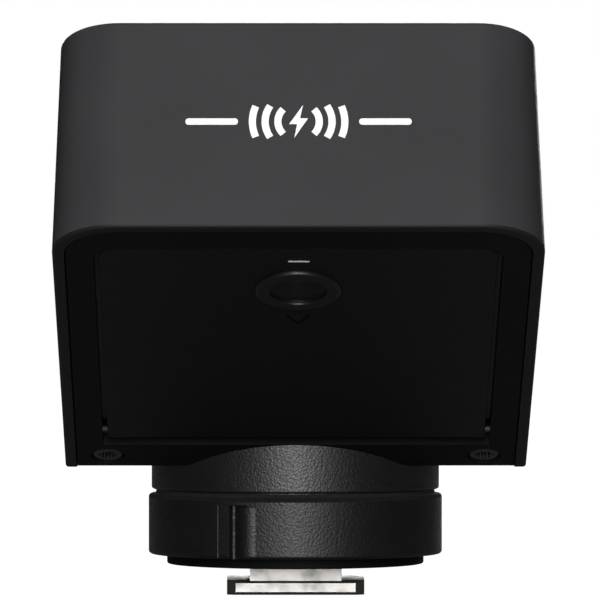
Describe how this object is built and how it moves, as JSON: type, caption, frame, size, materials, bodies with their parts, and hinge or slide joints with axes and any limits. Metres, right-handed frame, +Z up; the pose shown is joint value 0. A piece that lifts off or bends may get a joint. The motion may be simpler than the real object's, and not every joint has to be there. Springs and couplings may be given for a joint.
{
  "type": "radio flash trigger",
  "caption": "Wireless radio flash trigger for a camera accessory shoe: tilted display body over a round twist-lock neck, battery door in the sloping underside, control dial and keys on top.",
  "frame": {"origin": "centre of the shoe foot's underside, on the axis of the foot, locking ring and neck", "axes": "+Z up the shoe axis, +Y back towards the viewer and the way the foot slides out of the camera's shoe, -Y towards the subject, +X to the right seen from the subject's side, so the sloping underside's width lies along X"},
  "size_m": [0.062, 0.1039, 0.0759],
  "materials": {
    "shell": "fine powder coat, satin",
    "frame": "moulded, fine matt texture",
    "door": "moulded, fine matt texture",
    "grip": "smooth matt",
    "steel": "plain",
    "screw_black": "black oxide",
    "neck": "moulded, pebbled",
    "foot_metal": "satin nickel plated",
    "insulator": "plain moulded",
    "gold": "gold plated",
    "tray": "plain moulded",
    "cell": "printed sleeve",
    "window": "polished, tinted",
    "module": "display glass and frame",
    "foam": "closed-cell foam",
    "ribbon": "polyimide film",
    "board": "solder mask",
    "chip": "moulded epoxy",
    "can": "tinned",
    "clear": "frosted",
    "key_rubber": "silicone, matt",
    "rubber": "matt",
    "dial": "anodised black"
  },
  "bodies": {
    "housing": {"outer_shell": "shell", "lower_frame": "frame", "battery_tray": "tray", "contact_plates": "can", "contact_springs": "can", "battery_cell_left": "cell", "battery_cell_middle": "cell", "battery_cell_right": "cell", "control_panel": "frame", "display_window": "window", "display_seal": "foam", "display_module": "module", "display_ribbon": "ribbon", "encoder_base": "chip", "button_switches": "can", "main_board": "board", "radio_module": "can", "antenna": "gold", "board_chips": "chip", "buzzer": "chip", "status_light": "clear", "usb_socket": "can", "sync_jack": "insulator", "shoe_flex": "ribbon", "shoe_neck": "neck", "ring_retainer": "steel", "shoe_foot": "foot_metal", "foot_insulator": "insulator", "lock_pin_spring": "steel", "case_screws": "screw_black", "board_screws": "steel", "neck_screws": "steel", "foot_screws": "steel"},
    "door_slider": {"door_hinge_pins": "steel"},
    "door": {"battery_door": "door", "thumb_grip": "grip"},
    "socket_cover": {"port_cover": "rubber"},
    "dial": {"dial_wheel": "dial", "dial_grip": "rubber"},
    "dial_button": {"centre_button": "dial"},
    "menu_key": {"menu_button": "key_rubber"},
    "back_key": {"back_button": "key_rubber"},
    "power_key": {"power_button": "key_rubber"},
    "test_key": {"test_button": "key_rubber"},
    "ring": {"lock_ring": "neck"},
    "clamp": {"clamp_disc": "neck"},
    "pin": {"locking_pin": "steel"},
    "trigger_contact": {"middle_contact": "gold"},
    "data_contacts": {"side_contacts": "gold"}
  },
  "joints": [
    {"name": "door_slide", "type": "slide", "parent": "housing", "child": "door_slider", "axis": [0, 0.9063, -0.4226], "range_m": [0, 0.0018]},
    {"name": "door_hinge", "type": "hinge", "parent": "door_slider", "child": "door", "pos_m": [0, -0.02211, 0.02289], "axis": [1, 0, 0], "range_deg": [0, 100]},
    {"name": "port_cover_hinge", "type": "hinge", "parent": "housing", "child": "socket_cover", "pos_m": [-0.03049, -0.00566, 0.03368], "axis": [0.0286, 0.4224, 0.9059], "range_deg": [0, 110]},
    {"name": "dial_turn", "type": "hinge", "parent": "housing", "child": "dial", "pos_m": [0, -0.0004, 0.04612], "axis": [0, 0.4226, 0.9063], "continuous": true},
    {"name": "dial_button_press", "type": "slide", "parent": "housing", "child": "dial_button", "axis": [0, -0.4226, -0.9063], "range_m": [0, 0.0006], "stiffness_N_per_m": 600, "springref_m": -0.0003},
    {"name": "menu_press", "type": "slide", "parent": "housing", "child": "menu_key", "axis": [0, -0.4226, -0.9063], "range_m": [0, 0.0006], "stiffness_N_per_m": 600, "springref_m": -0.0003},
    {"name": "back_press", "type": "slide", "parent": "housing", "child": "back_key", "axis": [0, -0.4226, -0.9063], "range_m": [0, 0.0006], "stiffness_N_per_m": 600, "springref_m": -0.0003},
    {"name": "power_press", "type": "slide", "parent": "housing", "child": "power_key", "axis": [0, -0.4226, -0.9063], "range_m": [0, 0.0006], "stiffness_N_per_m": 600, "springref_m": -0.0003},
    {"name": "test_press", "type": "slide", "parent": "housing", "child": "test_key", "axis": [0, -0.4226, -0.9063], "range_m": [0, 0.0006], "stiffness_N_per_m": 600, "springref_m": -0.0003},
    {"name": "ring_turn", "type": "hinge", "parent": "housing", "child": "ring", "pos_m": [0, 0, 0.00937], "axis": [0, 0, 1], "range_deg": [0, 60]},
    {"name": "clamp_travel", "type": "slide", "parent": "housing", "child": "clamp", "axis": [0, 0, -1], "range_m": [0, 0.0004]},
    {"name": "locking_pin_travel", "type": "slide", "parent": "housing", "child": "pin", "axis": [0, 0, -1], "range_m": [0, 0.0012], "deforming": ["lock_pin_spring"]},
    {"name": "trigger_contact_press", "type": "slide", "parent": "housing", "child": "trigger_contact", "axis": [0, 0, 1], "range_m": [0, 0.00025], "stiffness_N_per_m": 400, "springref_m": -0.0003},
    {"name": "data_contacts_press", "type": "slide", "parent": "housing", "child": "data_contacts", "axis": [0, 0, 1], "range_m": [0, 0.00025], "stiffness_N_per_m": 400, "springref_m": -0.0003}
  ],
  "couplings": [
    {"joint": "clamp_travel", "follows": "ring_turn", "m_per_rad": 0.00038193},
    {"joint": "locking_pin_travel", "follows": "ring_turn", "m_per_rad": 0.0011458}
  ]
}
